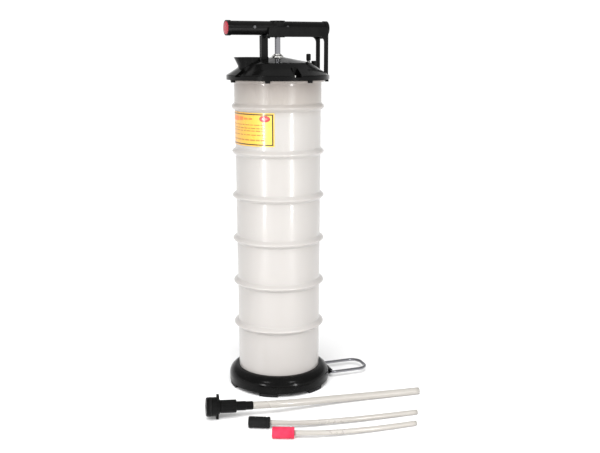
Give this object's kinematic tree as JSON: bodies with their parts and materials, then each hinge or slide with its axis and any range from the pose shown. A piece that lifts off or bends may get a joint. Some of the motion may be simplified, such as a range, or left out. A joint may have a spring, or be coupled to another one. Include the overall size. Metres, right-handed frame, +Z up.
{
  "type": "fluid transfer pump",
  "caption": "Manual vacuum fluid extractor: ribbed milky tank on a foot ring, domed lid with tee pump handle and pour port, and loose suction and probe tubes.",
  "frame": {"origin": "centre of the ring of feet, on the floor, on the tank's axis", "axes": "+Z up along the tank and pump rod, -Y to the front with the label and hoses, +X to the right"},
  "size_m": [0.3612, 0.3435, 0.6326],
  "materials": {
    "tank_plastic": "translucent milky blow-moulded plastic",
    "black_plastic": "polished",
    "handle_plastic": "semi-gloss moulded",
    "satin_black": "satin",
    "foot_rubber": "matte",
    "black_rubber": "matte",
    "red_rubber": "soft",
    "red_plastic": "semi-gloss",
    "chrome": "polished",
    "screw_steel": "bright zinc",
    "dark_steel": "black oxide",
    "white_plastic": "natural",
    "tube_plastic": "milky clear tube",
    "label_film": "printed film, no lettering"
  },
  "bodies": {
    "pump_body": {"tank": "tank_plastic", "base_ring": "black_plastic", "foot_pad_1": "foot_rubber", "foot_pad_2": "foot_rubber", "foot_pad_3": "foot_rubber", "foot_pad_4": "foot_rubber", "foot_pad_5": "foot_rubber", "foot_pad_6": "foot_rubber", "lid": "black_plastic", "lid_gasket": "black_rubber", "lid_screw_1": "screw_steel", "lid_screw_2": "screw_steel", "lid_screw_3": "screw_steel", "lid_screw_4": "screw_steel", "lid_screw_5": "screw_steel", "handle_screw_1": "screw_steel", "handle_screw_2": "screw_steel", "handle_screw_3": "screw_steel", "exhaust_vent": "satin_black", "float_cage": "white_plastic", "release_seat": "satin_black", "carry_handle": "handle_plastic", "pump_barrel": "white_plastic", "barrel_end": "satin_black", "rod_bushing": "screw_steel", "rod_seal": "black_rubber", "label": "label_film", "stirrup_bracket": "black_plastic"},
    "pump_handle": {"tee_handle": "handle_plastic", "end_plug_left": "red_plastic", "end_plug_right": "red_plastic", "grip_screw_1": "dark_steel", "grip_screw_2": "dark_steel", "pump_rod": "chrome", "piston": "white_plastic", "piston_seal": "black_rubber", "piston_nut": "screw_steel"},
    "release": {"release_button": "satin_black", "release_spring": "screw_steel"},
    "inlet_valve": {"inlet_valve_disc": "black_rubber"},
    "float": {"float_ball": "white_plastic"},
    "stirrup": {"foot_stirrup": "chrome"},
    "suction_hose": {"fitting_plug": "satin_black", "fitting_ring": "black_rubber", "fitting_sleeve": "satin_black", "suction_tube": "tube_plastic"},
    "swivel_nut": {"fitting_nut": "satin_black"},
    "black_hose": {"black_cap": "black_rubber", "black_probe_tube": "tube_plastic"},
    "red_hose": {"red_cap": "red_rubber", "red_probe_tube": "tube_plastic"}
  },
  "joints": [
    {"name": "pump_stroke", "type": "slide", "parent": "pump_body", "child": "pump_handle", "axis": [0, 0, 1], "range_m": [0, 0.4]},
    {"name": "release_push", "type": "slide", "parent": "pump_body", "child": "release", "axis": [0, 0, -1], "range_m": [0, 0.0025], "stiffness_N_per_m": 600, "springref_m": -0.004, "deforming": ["release_spring"]},
    {"name": "inlet_valve_lift", "type": "slide", "parent": "pump_body", "child": "inlet_valve", "axis": [0, 0, 1], "range_m": [0, 0.003]},
    {"name": "float_rise", "type": "slide", "parent": "pump_body", "child": "float", "axis": [0, 0, 1], "range_m": [0, 0.022]},
    {"name": "stirrup_fold", "type": "hinge", "parent": "pump_body", "child": "stirrup", "pos_m": [0.08672, 0.03071, 0.01], "axis": [0.3338, -0.9426, 0], "range_deg": [0, 88]},
    {"name": "suction_hose_lift", "type": "slide", "parent": "pump_body", "child": "suction_hose", "axis": [0, 0, 1], "range_m": [0, 0.15]},
    {"name": "nut_turn", "type": "hinge", "parent": "suction_hose", "child": "swivel_nut", "pos_m": [-0.07962, -0.16958, 0.01963], "axis": [0.9823, 0.1834, -0.0393], "continuous": true},
    {"name": "black_hose_lift", "type": "slide", "parent": "pump_body", "child": "black_hose", "axis": [0, 0, 1], "range_m": [0, 0.15]},
    {"name": "red_hose_lift", "type": "slide", "parent": "pump_body", "child": "red_hose", "axis": [0, 0, 1], "range_m": [0, 0.15]}
  ]
}
